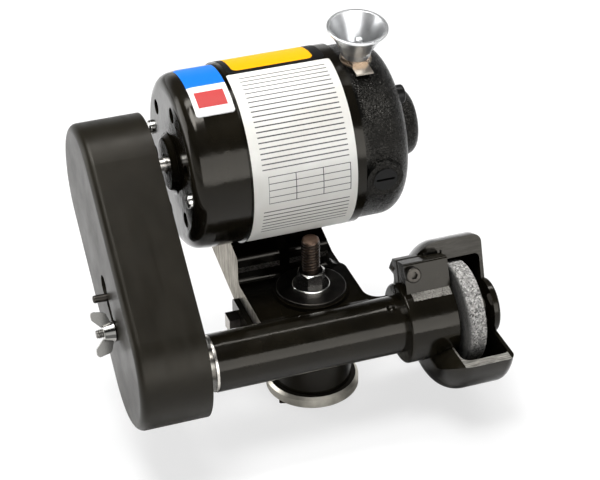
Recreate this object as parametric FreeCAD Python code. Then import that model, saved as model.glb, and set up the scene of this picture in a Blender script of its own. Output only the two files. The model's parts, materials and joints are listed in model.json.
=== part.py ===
import FreeCAD, Part
import math
import os

V = FreeCAD.Vector
INCH = 25.4

# Frame of the part: the tool post stud stands on the Z axis, the underside of its
# base disc is Z = 0, the grinding spindle runs along +X and the motor sits behind, at +Y.

# Grinding spindle
spindle_y = -27.0
spindle_z = 44.5
housing_r = 1.125 * INCH / 2
housing_left = -60.0
housing_right = 57.0
bearing_od = 22.0
bearing_bore = 8.0
bearing_width = 7.0
arbor_r = 0.25 * INCH / 2
run_clear = 0.04

# Grinding wheel and its guard
wheel_r = 2.0 * INCH / 2
wheel_width = 0.375 * INCH
wheel_left = 63.0
blotter = 0.5
guard_r = 37.6
guard_left = 48.0
guard_right = 83.3
guard_end_wall = 1.8
guard_barrel_r = 20.0
guard_barrel_left = 36.0
guard_barrel_right = 61.0
guard_hub_r = 14.0
cavity_left = 57.8
cavity_r = 31.6
cavity_drop = 4.0
opening_turn = 72.5
opening_drop = 7.4
clamp_turn = 70.0
clamp_top = 31.8

# Motor
motor_y = 33.0
motor_z = 122.5
band_r = 3.5 * INCH / 2
band_left = -32.0
band_right = 25.0
band_wall = 1.9
bell_r = 43.5
bell_left = -59.2
bell_corner = 7.0
cap_r = 43.1
cap_right = 50.0
cap_edge = 11.0
boss_right = 64.0
boss_r = 17.0
motor_turn = 4.0
switch_turn = 99.0
switch_x = 33.0
brush_turn = 184.5
brush_x = 34.3
brush_flat = 41.9
shaft_r = 4.0

# Inclined motor pad on the frame
pad_tilt = 15.9
pad_drop = 46.6
pad_front = 18.2
pad_rear = 71.5
pad_left = -32.0
pad_right = 15.5
pad_thick = 9.0
slot_x = -7.5
slot_wide = 5.2

# Web of the frame between the spindle housing and the motor pad
web_top = 55.2
web_side = 22.0
web_right = 24.0
web_rear_bottom = 51.0
stud_boss_r = 18.75
ring_top = 57.2

# Tool post stud
stud_r = 0.375 * INCH / 2
stud_root = 4.25
stud_top = 86.4
disc_r = 23.5
disc_thick = 6.0
tee_thick = 5.5
tee_half = 16.9
tee_depth = 11.5
tee_turn = -18.6

# Belt drive and its guard
pulley_big = 1.25 * INCH / 2
pulley_small = 0.75 * INCH / 2
belt_x = -86.0
belt_wide = 6.0
belt_thick = 3.6
belt_clear = 0.3
cover_r = 32.2
cover_wall = 2.2
cover_left = -103.5
cover_right = -69.3
cover_low = (-29.6, 56.3)
cover_high = (38.5, 113.1)
stud_along = 17.0
pin_along = 34.0
keyhole_along = 40.0


def unit(degrees):
    return V(0, math.cos(math.radians(degrees)), math.sin(math.radians(degrees)))


def rounded_wire(corners, place):
    """Closed wire through corners (a, b, radius), each corner rounded by an arc of its radius."""
    count = len(corners)
    spans = []
    for i in range(count):
        a, b, radius = corners[i]
        here = V(a, b, 0)
        before = V(corners[i - 1][0], corners[i - 1][1], 0) - here
        after = V(corners[(i + 1) % count][0], corners[(i + 1) % count][1], 0) - here
        before.normalize()
        after.normalize()
        if radius <= 0:
            spans.append((here, here, here))
            continue
        half = before.getAngle(after) / 2
        reach = radius / math.tan(half)
        bisector = before + after
        bisector.normalize()
        middle = here + bisector * (radius / math.sin(half) - radius)
        spans.append((here + before * reach, middle, here + after * reach))
    edges = []
    for i in range(count):
        start, middle, end = spans[i]
        if (end - start).Length > 1e-6:
            edges.append(Part.Arc(place(start), place(middle), place(end)).toShape())
        following = spans[(i + 1) % count][0]
        if (following - end).Length > 1e-6:
            edges.append(Part.LineSegment(place(end), place(following)).toShape())
    return Part.Wire(edges)


def turned(corners, axis_y, axis_z):
    """Body of revolution about an X line, from corners (x, radius, corner rounding)."""
    wire = rounded_wire(corners, lambda p: V(p.x, axis_y, axis_z + p.y))
    return Part.Face(wire).revolve(V(0, axis_y, axis_z), V(1, 0, 0), 360)


def spindle_turned(corners):
    return turned(corners, spindle_y, spindle_z)


def motor_turned(corners):
    return turned(corners, motor_y, motor_z)


def side_slab(corners, x_from, x_to):
    """Prism along X from corners (y, z, rounding)."""
    wire = rounded_wire(corners, lambda p: V(x_from, p.x, p.y))
    return Part.Face(wire).extrude(V(x_to - x_from, 0, 0))


def plan_slab(corners, z_from, z_to):
    """Prism along Z from corners (x, y, rounding)."""
    wire = rounded_wire(corners, lambda p: V(p.x, p.y, z_from))
    return Part.Face(wire).extrude(V(0, 0, z_to - z_from))


def rod(x_from, x_to, radius, y, z):
    return Part.makeCylinder(radius, x_to - x_from, V(x_from, y, z), V(1, 0, 0))


def tube(x_from, x_to, outer, inner, y, z):
    return rod(x_from, x_to, outer, y, z).cut(rod(x_from - 1, x_to + 1, inner, y, z))


def block(x_from, x_to, y_from, y_to, z_from, z_to):
    return Part.makeBox(x_to - x_from, y_to - y_from, z_to - z_from, V(x_from, y_from, z_from))


def hexagon(across_flats, height, base, axis, chamfered=True):
    """Hex prism standing on base along axis, with its outer corners turned off."""
    corner_r = across_flats / math.sqrt(3)
    points = [V(corner_r * math.cos(math.radians(60 * k)), corner_r * math.sin(math.radians(60 * k)), 0)
              for k in range(7)]
    prism = Part.Face(Part.makePolygon(points)).extrude(V(0, 0, height))
    if chamfered:
        top_r = across_flats * 0.47
        prism = prism.common(Part.makeCone(top_r + height * math.sqrt(3), top_r, height))
    prism.Placement = FreeCAD.Placement(base, FreeCAD.Rotation(V(0, 0, 1), axis))
    return prism


def oval_wire(low, high, low_r, high_r, x):
    """Outline round two circles in a plane of constant X, with straight sides."""
    c1 = V(x, low[0], low[1])
    c2 = V(x, high[0], high[1])
    along = math.degrees(math.atan2(high[1] - low[1], high[0] - low[0]))
    lean = math.degrees(math.acos((low_r - high_r) / (c2 - c1).Length))
    left, right = unit(along + lean), unit(along - lean)
    return Part.Wire([
        Part.LineSegment(c1 + left * low_r, c2 + left * high_r).toShape(),
        Part.Arc(c2 + left * high_r, c2 + unit(along) * high_r, c2 + right * high_r).toShape(),
        Part.LineSegment(c2 + right * high_r, c1 + right * low_r).toShape(),
        Part.Arc(c1 + right * low_r, c1 + unit(along + 180) * low_r, c1 + left * low_r).toShape(),
    ])


def oval(low, high, low_r, high_r, x_from, x_to):
    return Part.Face(oval_wire(low, high, low_r, high_r, x_from)).extrude(V(x_to - x_from, 0, 0))


def screw(x_head, x_tip, head_r, head_high, shank_r, y, z):
    """Slotted pan head screw along +X, head towards -X."""
    head = turned([(x_head - head_high, 0, 0), (x_head - head_high, head_r, head_high * 0.6),
                   (x_head, head_r, 0), (x_head, 0, 0)], y, z)
    x_top = x_head - head_high
    head_slot = block(x_top - 1, x_top + head_high * 0.55, y - head_r, y + head_r, z - 0.5, z + 0.5)
    return head.fuse(rod(x_head, x_tip, shank_r, y, z)).cut(head_slot).removeSplitter()


def save(name, shape):
    shape.exportStep("parts/%s.step" % name)
    print(name, "valid" if shape.isValid() else "NOT VALID", len(shape.Solids), round(shape.Volume))


os.makedirs("parts", exist_ok=True)

pad_normal = unit(pad_tilt + 90)
motor_axis = V(0, motor_y, motor_z)
pad_foot = motor_axis - pad_normal * pad_drop


def pad_z(y):
    return pad_foot.z + (y - pad_foot.y) * math.tan(math.radians(pad_tilt))


cover_axis = V(0, cover_high[0] - cover_low[0], cover_high[1] - cover_low[1])
cover_axis.normalize()


def on_cover(along):
    return V(0, cover_low[0], cover_low[1]) + cover_axis * along


# Tool post stud: a tee head with two opposite corners cut off, so it drops into a tee slot and turns
corner_cut = (tee_half - 0.4) * 0.85
tee_plan = [(-tee_half, -tee_depth, 0.8), (0.4, -tee_depth, 1.5), (tee_half, corner_cut - tee_depth, 1.5),
            (tee_half, tee_depth, 0.8), (-0.4, tee_depth, 1.5), (-tee_half, tee_depth - corner_cut, 1.5)]
tee_head = plan_slab(tee_plan, -tee_thick, 0)
tee_head.rotate(V(0, 0, 0), V(0, 0, 1), tee_turn)
shank = Part.makeCylinder(stud_r, ring_top + 1, V(0, 0, -1))
thread_core = Part.Face(rounded_wire(
    [(0, ring_top - 1, 0), (stud_root, ring_top - 1, 0), (stud_root, stud_top - 0.9, 0),
     (stud_root - 0.9, stud_top, 0), (0, stud_top, 0)],
    lambda p: V(p.x, 0, p.y))).revolve(V(0, 0, 0), V(0, 0, 1), 360)
save("tee_bolt", tee_head.multiFuse([shank, thread_core]).removeSplitter())

disc_chamfer = 1.4
disc = Part.Face(rounded_wire(
    [(stud_r + 0.1, 0, 0), (disc_r - 0.5, 0, 0), (disc_r, 0.5, 0), (disc_r, disc_thick - disc_chamfer, 0),
     (disc_r - disc_chamfer, disc_thick, 0), (stud_r + 0.1, disc_thick, 0)],
    lambda p: V(p.x, 0, p.y))).revolve(V(0, 0, 0), V(0, 0, 1), 360)
save("base_disc", disc)


def washer(outer, inner, z_from, thick, edge):
    wire = rounded_wire([(inner, z_from, 0), (outer, z_from, 0), (outer, z_from + thick, edge),
                         (inner, z_from + thick, 0)], lambda p: V(p.x, 0, p.y))
    return Part.Face(wire).revolve(V(0, 0, 0), V(0, 0, 1), 360)


seat_thick = 1.5
flat_thick = 1.7
nut_high = 7.4
save("seat_washer", washer(17.35, stud_r + 0.1, ring_top, seat_thick, 0.5))
save("flat_washer", washer(9.45, stud_r + 0.1, ring_top + seat_thick, flat_thick, 0.6))
nut_base = ring_top + seat_thick + flat_thick
stud_nut = hexagon(0.5 * INCH, nut_high, V(0, 0, nut_base), V(0, 0, 1))
save("stud_nut", stud_nut.cut(Part.makeCylinder(stud_root, 40, V(0, 0, nut_base - 10))))

# Frame casting: spindle housing, web, stud boss and inclined motor pad
body = side_slab([(spindle_y, web_top, 0), (30, web_top, 6), (pad_rear, web_top + 12, 0),
                  (pad_rear, web_rear_bottom, 6), (22, 39.5, 10), (spindle_y, 32.0, 0)], pad_left, web_side)
pad_blend = 3.0
pad = side_slab([(pad_front - 6, web_top - 4, 0), (pad_front - 6, web_top, 0),
                 (pad_front, web_top, pad_blend), (pad_front, pad_z(pad_front), 2.5),
                 (pad_rear, pad_z(pad_rear), 2.5), (pad_rear, web_top - 4, 0)], pad_left, pad_right)
flare_right = 34.0
flare_rear = 24.0
flare_plan = [(0, spindle_y, 0), (flare_right, spindle_y, 0), (flare_right, spindle_y + 10.5, 0),
              (web_right, spindle_y + 10.5, 8), (web_right, pad_front, 6.5), (pad_right - 1, flare_rear, 0),
              (0, flare_rear, 0)]
flare = plan_slab(flare_plan, 36.0, web_top)
gusset_r = 7.0
gusset_top = web_top + gusset_r + 0.5
gusset = Part.Face(rounded_wire(
    [(pad_right - 1, web_top - 1, 0), (web_right, web_top - 1, 0), (web_right, web_top, 0),
     (pad_right, web_top, gusset_r), (pad_right, gusset_top, 0), (pad_right - 1, gusset_top, 0)],
    lambda p: V(p.x, pad_front - 0.5, p.y))).extrude(V(0, flare_rear - pad_front, 0))
gusset = gusset.common(plan_slab(flare_plan, web_top - 1, gusset_top))
housing = rod(housing_left, housing_right, housing_r, spindle_y, spindle_z)

# Cast blend along the crease between the housing and the top of the web
crease_r = 4.0
blend_z = web_top + crease_r
blend_y = spindle_y + math.sqrt((housing_r + crease_r) ** 2 - (blend_z - spindle_z) ** 2)
blend_axis = V(0, blend_y, blend_z)
on_web = V(pad_left, blend_y, web_top)
on_housing = V(0, spindle_y, spindle_z) - blend_axis
on_housing.normalize()
arc_middle = on_housing + V(0, 0, -1)
arc_middle.normalize()
start = V(pad_left, 0, 0) + blend_axis + on_housing * crease_r
root = V(pad_left, spindle_y + 2, web_top - 3)
blend = Part.Face(Part.Wire([
    Part.LineSegment(root, start).toShape(),
    Part.Arc(start, V(pad_left, 0, 0) + blend_axis + arc_middle * crease_r, on_web).toShape(),
    Part.LineSegment(on_web, on_web - V(0, 0, 3)).toShape(),
    Part.LineSegment(on_web - V(0, 0, 3), root).toShape(),
])).extrude(V(web_right - pad_left, 0, 0))

boss = Part.makeCylinder(stud_boss_r + 1.2, web_top - disc_thick - 1, V(0, 0, disc_thick))
ring = Part.makeCylinder(stud_boss_r, ring_top - disc_thick, V(0, 0, disc_thick))
lug_front = -6.0
lug_rear = 20.0
lug_bottom = 30.0
lug_top = 47.0
lug_left = pad_left - 3.0
lug = side_slab([(lug_front, lug_bottom, 0), (lug_rear, lug_bottom, 3), (lug_rear, lug_top, 3),
                 (lug_front, lug_top, 0)], lug_left, pad_left + 14)
casting = housing.multiFuse([body, pad, flare, gusset, blend, boss, ring, lug])
core_front = 26.0
core_rear = 67.5
core = side_slab([(core_front, 20, 0), (core_front, pad_z(core_front) - pad_thick, 5),
                  (core_rear, pad_z(core_rear) - pad_thick, 3.5), (core_rear, 20, 0)],
                 pad_left + 7, pad_right)
slot_rear = 60.0
slot_floor = 58.5
slot = block(slot_x - slot_wide / 2, slot_x + slot_wide / 2, pad_front - 1, slot_rear, slot_floor, 95)
stud_bore = Part.makeCylinder(stud_r + 0.08, 80, V(0, 0, 0))
spindle_bore = rod(housing_left - 1, housing_right + 1, bearing_od / 2, spindle_y, spindle_z)
oil_dimple = Part.makeSphere(2.4, V(30, spindle_y - 5.1, spindle_z + 14.2))
lock_y = 11.0
lock_z = 38.0
lock_r = 2.5
lock_tip = pad_left + 6
lock_hole = rod(lug_left - 1, lock_tip, lock_r, lock_y, lock_z)
casting = casting.cut(Part.makeCompound([core, slot, stud_bore, spindle_bore, oil_dimple, lock_hole]))
save("frame_casting", casting.removeSplitter())

# Square head lock screw in the lug of the frame
square_half = 4.0
square = block(lug_left - 5.5, lug_left, lock_y - square_half, lock_y + square_half,
               lock_z - square_half, lock_z + square_half)
save("lock_screw", square.fuse(rod(lug_left, lock_tip, lock_r, lock_y, lock_z)).removeSplitter())

# Spindle bearings, their caps and the sleeve between them
rear_bearing = housing_left + 2.0
front_bearing = housing_right - 3.0 - bearing_width


def bearing(x_from, bore, od, wide, y, z):
    groove = 0.5
    return turned([(x_from, bore / 2 + run_clear, 0), (x_from, bore / 2 + 2.0, 0),
                   (x_from + groove, bore / 2 + 2.0, 0), (x_from + groove, od / 2 - 2.0, 0),
                   (x_from, od / 2 - 2.0, 0), (x_from, od / 2, 0), (x_from + wide, od / 2, 0),
                   (x_from + wide, od / 2 - 2.0, 0), (x_from + wide - groove, od / 2 - 2.0, 0),
                   (x_from + wide - groove, bore / 2 + 2.0, 0), (x_from + wide, bore / 2 + 2.0, 0),
                   (x_from + wide, bore / 2 + run_clear, 0)], y, z)


save("spindle_bearings", Part.makeCompound(
    [bearing(x, bearing_bore, bearing_od, bearing_width, spindle_y, spindle_z)
     for x in (rear_bearing, front_bearing)]))
save("bearing_spacer", tube(rear_bearing + bearing_width, front_bearing, bearing_od / 2, 9.4,
                            spindle_y, spindle_z))
nose_end = -71.6
save("rear_bearing_cap", spindle_turned(
    [(rear_bearing, 5.0, 0), (rear_bearing, bearing_od / 2, 0), (housing_left, bearing_od / 2, 0),
     (housing_left, housing_r - 0.3, 0), (housing_left - 1.6, housing_r - 0.3, 0.6),
     (housing_left - 1.6, 8.0, 0), (nose_end, 8.0, 0.4), (nose_end, 5.0, 0)]))
save("front_bearing_cap", spindle_turned(
    [(front_bearing + bearing_width, 5.0, 0), (front_bearing + bearing_width, bearing_od / 2, 0),
     (housing_right, bearing_od / 2, 0), (housing_right, housing_r - 0.8, 0),
     (housing_right + 1.4, housing_r - 0.8, 0.5), (housing_right + 1.4, 5.0, 0)]))

# Spindle: pulley seat, two bearing journals, flange shoulder and threaded arbor
spindle_left = -97.0
arbor_end = 81.0
shoulder = wheel_left - blotter - 2.4
save("spindle_shaft", spindle_turned(
    [(spindle_left, 0, 0), (spindle_left, arbor_r, 0.5), (rear_bearing - 1, arbor_r, 0),
     (rear_bearing - 1, bearing_bore / 2, 0), (rear_bearing + bearing_width, bearing_bore / 2, 0),
     (rear_bearing + bearing_width, 5.4, 0), (front_bearing, 5.4, 0), (front_bearing, bearing_bore / 2, 0),
     (shoulder, bearing_bore / 2, 0), (shoulder, arbor_r, 0), (arbor_end, arbor_r, 0.8), (arbor_end, 0, 0)]))
wheel_right = wheel_left + wheel_width


def flange(x_inside, x_outside, radius):
    """Wheel flange, relieved near its bore and rounded at its outer rim."""
    step = 0.4 if x_outside > x_inside else -0.4
    return spindle_turned([(x_inside + step, arbor_r, 0), (x_inside + step, radius - 3, 0),
                           (x_inside, radius - 3, 0), (x_inside, radius, 0), (x_outside, radius, 0.9),
                           (x_outside, arbor_r, 0)])


flange_r = 9.5
flange_thick = 2.4
save("inner_flange", flange(wheel_left - blotter, shoulder, flange_r))
save("outer_flange", flange(wheel_right + blotter, wheel_right + blotter + flange_thick, flange_r))
save("wheel_blotters", Part.makeCompound(
    [tube(x, x + blotter, flange_r + 1.5, arbor_r, spindle_y, spindle_z)
     for x in (wheel_left - blotter, wheel_right)]))
save("grinding_wheel", spindle_turned(
    [(wheel_left, arbor_r, 0), (wheel_left, wheel_r, 0.6), (wheel_right, wheel_r, 0.6),
     (wheel_right, arbor_r, 0)]))
arbor_nut_x = wheel_right + blotter + flange_thick
arbor_nut = hexagon(0.4375 * INCH, 5.2, V(arbor_nut_x, spindle_y, spindle_z), V(1, 0, 0))
save("arbor_nut", arbor_nut.cut(rod(arbor_nut_x - 1, arbor_nut_x + 8, arbor_r, spindle_y, spindle_z)))

# Wheel guard: a cast trough round the wheel on a split clamp, open to the front and top
guard_bore = housing_r + run_clear
guard_corner = 13.0
lip_round = cavity_left - guard_left
cavity_right = guard_right - guard_end_wall
shell = spindle_turned(
    [(guard_left, 0, 0), (guard_left, guard_r, guard_corner), (guard_right, guard_r, 4.5),
     (guard_right, 0, 0)])
hub = spindle_turned(
    [(cavity_right, 0, 0), (cavity_right, guard_hub_r, 0), (guard_right + 1.7, guard_hub_r, 1.5),
     (guard_right + 1.7, 0, 0)])
barrel = spindle_turned(
    [(guard_barrel_left, 0, 0), (guard_barrel_left, guard_barrel_r, 1.0),
     (guard_barrel_right, guard_barrel_r, 0.6), (guard_barrel_right, 0, 0)])


def beyond(turn, offset):
    """Space on one side of a cut through the guard, whose edge towards the barrel is rounded off."""
    far = 90
    space = block(guard_left - 2, guard_right + 4, -far, far, offset - lip_round, far)
    left_over = block(cavity_left, guard_right + 5, -far - 1, far + 1, offset - lip_round - 1, offset)
    edge = Part.makeCylinder(lip_round, 2 * far + 2, V(cavity_left, -far - 1, offset - lip_round), V(0, 1, 0))
    space = space.cut(left_over).cut(edge)
    space.rotate(V(0, 0, 0), V(1, 0, 0), turn)
    space.translate(V(0, spindle_y, spindle_z))
    return space


opening = beyond(opening_turn, 0.0).common(beyond(0, -opening_drop))
cavity = turned([(cavity_left, 0, 0), (cavity_left, cavity_r, 5.0), (cavity_right, cavity_r, 2.5),
                 (cavity_right, 0, 0)], spindle_y, spindle_z - cavity_drop)
shell = shell.cut(cavity).cut(opening)


def on_clamp(shape):
    """Place a shape drawn with the clamp pointing up +Z and its screw head at -Y."""
    shape.rotate(V(0, 0, 0), V(1, 0, 0), clamp_turn - 90)
    shape.translate(V(0, spindle_y, spindle_z))
    return shape


ear_left = 38.4
ear_right = guard_barrel_right
ear_front = -11.0
ear_rear = 6.0
slit_wide = 1.6
front_ear = side_slab([(-slit_wide, 12, 0), (-slit_wide, clamp_top, 0.6), (ear_front, clamp_top, 1.2),
                       (ear_front, 16.5, 1.5), (ear_front - 5, 12, 0)], ear_left, ear_right)
rear_ear = side_slab([(0, 12, 0), (0, clamp_top, 0.6), (ear_rear, clamp_top, 1.6), (ear_rear, 20, 5),
                      (ear_rear + 8, 13.5, 0)], ear_left, ear_right)
slit = block(30, guard_barrel_right + 1, -slit_wide, 0, 5, clamp_top + 1)
clamp_x = 42.0
clamp_along = 26.3
clamp_r = 2.1
clamp_hole = Part.makeCylinder(clamp_r + 0.1, 60, V(clamp_x, -30, clamp_along), V(0, 1, 0))
wheel_guard = shell.multiFuse([hub, barrel, on_clamp(front_ear), on_clamp(rear_ear)])
wheel_guard = wheel_guard.cut(Part.makeCompound(
    [rod(20, guard_barrel_right + 1, guard_bore, spindle_y, spindle_z), on_clamp(slit),
     on_clamp(clamp_hole)]))
save("wheel_guard", wheel_guard.removeSplitter())

head_high = 3.2
head_r = 3.9
clamp_head = Part.makeCylinder(head_r, head_high, V(clamp_x, ear_front - head_high, clamp_along), V(0, 1, 0))
clamp_head = clamp_head.makeFillet(
    0.8, [e for e in clamp_head.Edges if abs(e.BoundBox.YMax - ear_front + head_high) < 0.01])
socket = hexagon(3.4, 2.0, V(clamp_x, ear_front - head_high + 1.9, clamp_along), V(0, -1, 0), False)
clamp_nut_high = 3.4
clamp_shank = Part.makeCylinder(
    clamp_r, ear_rear + clamp_nut_high + 1 - ear_front, V(clamp_x, ear_front, clamp_along), V(0, 1, 0))
save("guard_clamp_screw", on_clamp(clamp_head.fuse(clamp_shank).cut(socket).removeSplitter()))
clamp_nut = hexagon(8.0, clamp_nut_high, V(clamp_x, ear_rear, clamp_along), V(0, 1, 0))
save("guard_clamp_nut", on_clamp(clamp_nut.cut(clamp_shank)))

# Motor shell: band, drive end bell and brush end cap
save("motor_band", tube(band_left, band_right, band_r, band_r - band_wall, motor_y, motor_z))
spigot_r = band_r - band_wall
bell = motor_turned(
    [(bell_left - 3, 5.0, 0), (bell_left - 3, 13, 1.5), (bell_left, 15, 1.5),
     (bell_left, bell_r - 1.2, bell_corner),
     (-49, bell_r, 0), (band_left, bell_r, 0), (band_left, spigot_r, 0), (band_left + 4, spigot_r, 0),
     (band_left + 4, spigot_r - 2.2, 0), (-46, spigot_r - 2.2, 4), (bell_left + 4, spigot_r - 5.2, 4),
     (bell_left + 4, 14, 0), (bell_left + 8, 14, 0), (bell_left + 8, bearing_od / 2, 0),
     (bell_left - 0.5, bearing_od / 2, 0), (bell_left - 0.5, 5.0, 0)])


def round_motor(x, radius, degrees):
    return V(x, motor_y, motor_z) + unit(degrees) * radius


vent_r = 3.8
vent_ring = 29.5
vents = [Part.makeCylinder(vent_r, 12, round_motor(bell_left - 3, vent_ring, 41 + 60 * k), V(1, 0, 0))
         for k in range(6)]
bolt_turns = (motor_turn, motor_turn + 180)
bolt_ring = 33.5
bolt_r = 2.0
bolt_holes = [Part.makeCylinder(bolt_r + 0.05, 200, round_motor(-100, bolt_ring, t), V(1, 0, 0))
              for t in bolt_turns]
save("drive_end_bell", bell.cut(Part.makeCompound(vents + bolt_holes)))

cap = motor_turned(
    [(boss_right, 0, 0), (boss_right, boss_r, 5.0), (cap_right, boss_r, 1.5), (cap_right, cap_r, cap_edge),
     (band_right, cap_r, 0), (band_right, spigot_r, 0), (band_right - 4, spigot_r, 0),
     (band_right - 4, spigot_r - 2.2, 0), (cap_right - 4, spigot_r - 2.2, cap_edge - 3),
     (cap_right - 4, 14, 0), (cap_right - 7, 14, 0), (cap_right - 7, bearing_od / 2, 0),
     (cap_right + 1, bearing_od / 2, 0), (cap_right + 1, 0, 0)])
brush_turns = (brush_turn, brush_turn - 180)
flat_half = 9.8


def radial_box(x_half, wide_half, r_from, r_to, degrees, x):
    shape = block(-x_half, x_half, r_from, r_to, -wide_half, wide_half)
    shape.rotate(V(0, 0, 0), V(1, 0, 0), degrees)
    shape.translate(V(x, motor_y, motor_z))
    return shape


def radial_rod(radius, r_from, r_to, degrees, x):
    return Part.makeCylinder(radius, r_to - r_from, round_motor(x, r_from, degrees), unit(degrees))


brush_holder_r = 6.0
brush_boss_r = 9.2
brush_boss_top = 44.6
flats = [radial_box(flat_half, 20, brush_flat, 60, t, brush_x) for t in brush_turns]
brush_bosses = [radial_rod(brush_boss_r, 36, brush_boss_top, t, brush_x) for t in brush_turns]
bolt_lugs = [rod(band_right - 4, band_right + 4, 5.0, round_motor(0, 36, t).y, round_motor(0, 36, t).z)
             for t in bolt_turns]
lug_limit = rod(0, 60, spigot_r - 1, motor_y, motor_z)
bolt_lugs = [lug.common(lug_limit) for lug in bolt_lugs]
brush_bores = [radial_rod(brush_holder_r, 20, 60, t, brush_x) for t in brush_turns]
switch_axis = unit(switch_turn)
switch_hole = radial_rod(5.9, 30, 60, switch_turn, switch_x)
gland_y = 18.0
gland_z = 146.5
gland_r = 4.7
gland_shank = 3.8
gland_bore = 3.0
gland_hole = rod(30, 70, gland_shank, gland_y, gland_z)
cap = cap.cut(Part.makeCompound(flats)).multiFuse(brush_bosses + bolt_lugs)
blind_bolts = [b.common(rod(0, band_right + 2, 60, motor_y, motor_z)) for b in bolt_holes]
cap = cap.cut(Part.makeCompound(brush_bores + blind_bolts + [switch_hole, gland_hole]))
save("brush_end_cap", cap.removeSplitter())

bolt_tip = band_right + 2
save("through_bolts", Part.makeCompound(
    [screw(bell_left, bolt_tip, 3.6, 2.2, bolt_r, round_motor(0, bolt_ring, t).y,
           round_motor(0, bolt_ring, t).z) for t in bolt_turns]))

# Inside the motor: field, armature, commutator, fan and brushes
stator = tube(-20, 14, spigot_r, 21.0, motor_y, motor_z)
stator_slots = [radial_box(40, 9, 21 - 3, 34, t, -3) for t in (motor_turn + 45, motor_turn + 135,
                                                              motor_turn + 225, motor_turn + 315)]
save("field_stack", stator.cut(Part.makeCompound(stator_slots + bolt_holes)))
save("field_coils", Part.makeCompound(
    [tube(x, x + 6, 30, 24, motor_y, motor_z) for x in (-26.2, 14.2)]))
fan_x = -44.0
armature_left = -97.0
armature_right = cap_right + 0.5
save("armature_shaft", motor_turned(
    [(armature_left, 0, 0), (armature_left, arbor_r, 0.5), (bell_left - 4, arbor_r, 0),
     (bell_left - 4, shaft_r, 0), (armature_right, shaft_r, 0.5), (armature_right, 0, 0)]))
core_slots = [radial_box(30, 1.4, 15, 30, 30 * k, -3) for k in range(12)]
save("armature_core", tube(-19, 13, 20.4, shaft_r, motor_y, motor_z).cut(Part.makeCompound(core_slots)))
save("armature_windings", Part.makeCompound(
    [tube(x, x + 7, 18, shaft_r, motor_y, motor_z) for x in (-26.2, 13.2)]))
bar_cuts = [radial_box(20, 0.3, 10.4, 20, 15 * k, 32) for k in range(24)]
save("commutator", tube(25, 41, 11.0, shaft_r, motor_y, motor_z).cut(Part.makeCompound(bar_cuts)))
blades = [radial_box(4.0, 0.7, 9, 29, 40 * k, fan_x + 4) for k in range(9)]
fan_disc = tube(fan_x, fan_x + 1.2, 29, shaft_r, motor_y, motor_z)
fan_hub = tube(fan_x, fan_x + 9, 10, shaft_r, motor_y, motor_z)
save("cooling_fan", fan_disc.multiFuse([fan_hub] + blades).removeSplitter())
save("motor_bearings", Part.makeCompound(
    [bearing(x, 2 * shaft_r, bearing_od, bearing_width, motor_y, motor_z)
     for x in (bell_left - 0.5, cap_right + 1 - bearing_width)]))
save("brush_holders", Part.makeCompound(
    [radial_rod(brush_holder_r, 20, brush_boss_top - 3, t, brush_x).cut(radial_rod(4.0, 10, 60, t, brush_x))
     for t in brush_turns]))
save("carbon_brushes", Part.makeCompound(
    [radial_rod(3.8, 11.3, 26, t, brush_x) for t in brush_turns]))
save("brush_caps", Part.makeCompound(
    [radial_rod(brush_holder_r, brush_boss_top - 3, brush_boss_top + 0.6, t, brush_x)
     .cut(radial_box(4.6, 0.6, brush_boss_top - 0.9, 60, t, brush_x)) for t in brush_turns]))
spring_turns = 4
spring_long = 14.0
spring_wire = 0.9
spring_r = 2.6


def brush_spring(degrees):
    helix = Part.makeHelix(spring_long / spring_turns, spring_long, spring_r)
    half = spring_wire / 2
    section = Part.makePolygon([V(spring_r + a * half, 0, b * half)
                                for a, b in ((-1, -1), (1, -1), (1, 1), (-1, 1), (-1, -1))])
    coil = Part.Wire(helix).makePipeShell([section], True, True)
    seat = round_motor(brush_x, 26.6, degrees)
    coil.Placement = FreeCAD.Placement(seat, FreeCAD.Rotation(V(0, 0, 1), unit(degrees)))
    return coil


save("brush_springs", Part.makeCompound([brush_spring(t) for t in brush_turns]))

# Motor foot: a saddle under the band, with a stud through the slot of the pad
foot_half = 17.0
foot_block = block(-28, 19, -foot_half, foot_half, 0, 12)
foot_block.rotate(V(0, 0, 0), V(1, 0, 0), pad_tilt)
foot_block.translate(pad_foot)
foot_stud = Part.makeCylinder(2.4, 24, pad_foot + V(slot_x, 0, 0) - pad_normal * 22, pad_normal)
saddle = foot_block.cut(rod(-60, 60, band_r, motor_y, motor_z))
foot_stud = foot_stud.cut(rod(-60, 60, band_r, motor_y, motor_z))
save("motor_foot", saddle.fuse(foot_stud).removeSplitter())
pad_under = pad_foot + V(slot_x, 0, 0) - pad_normal * (pad_thick * math.cos(math.radians(pad_tilt)) + 0.02)
foot_washer = Part.makeCylinder(7.0, 1.4, pad_under - pad_normal * 1.4, pad_normal)
save("foot_washer", foot_washer.cut(Part.makeCylinder(2.45, 40, pad_under - pad_normal * 20, pad_normal)))
foot_nut = hexagon(9.5, 4.0, pad_under - pad_normal * 1.4, pad_normal * -1)
save("foot_nut", foot_nut.cut(Part.makeCylinder(2.4, 40, pad_under - pad_normal * 20, pad_normal)))

# Toggle switch on the brush end cap, with a flared metal guard round its lever
switch_base = V(switch_x, motor_y, motor_z)


def switch_turned(corners):
    """Body of revolution about the switch axis, from corners (radius, height, rounding)."""
    wire = rounded_wire(corners, lambda p: V(p.x, 0, p.y))
    shape = Part.Face(wire).revolve(V(0, 0, 0), V(0, 0, 1), 360)
    shape.rotate(V(0, 0, 0), V(1, 0, 0), switch_turn - 90)
    shape.translate(switch_base)
    return shape


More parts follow.
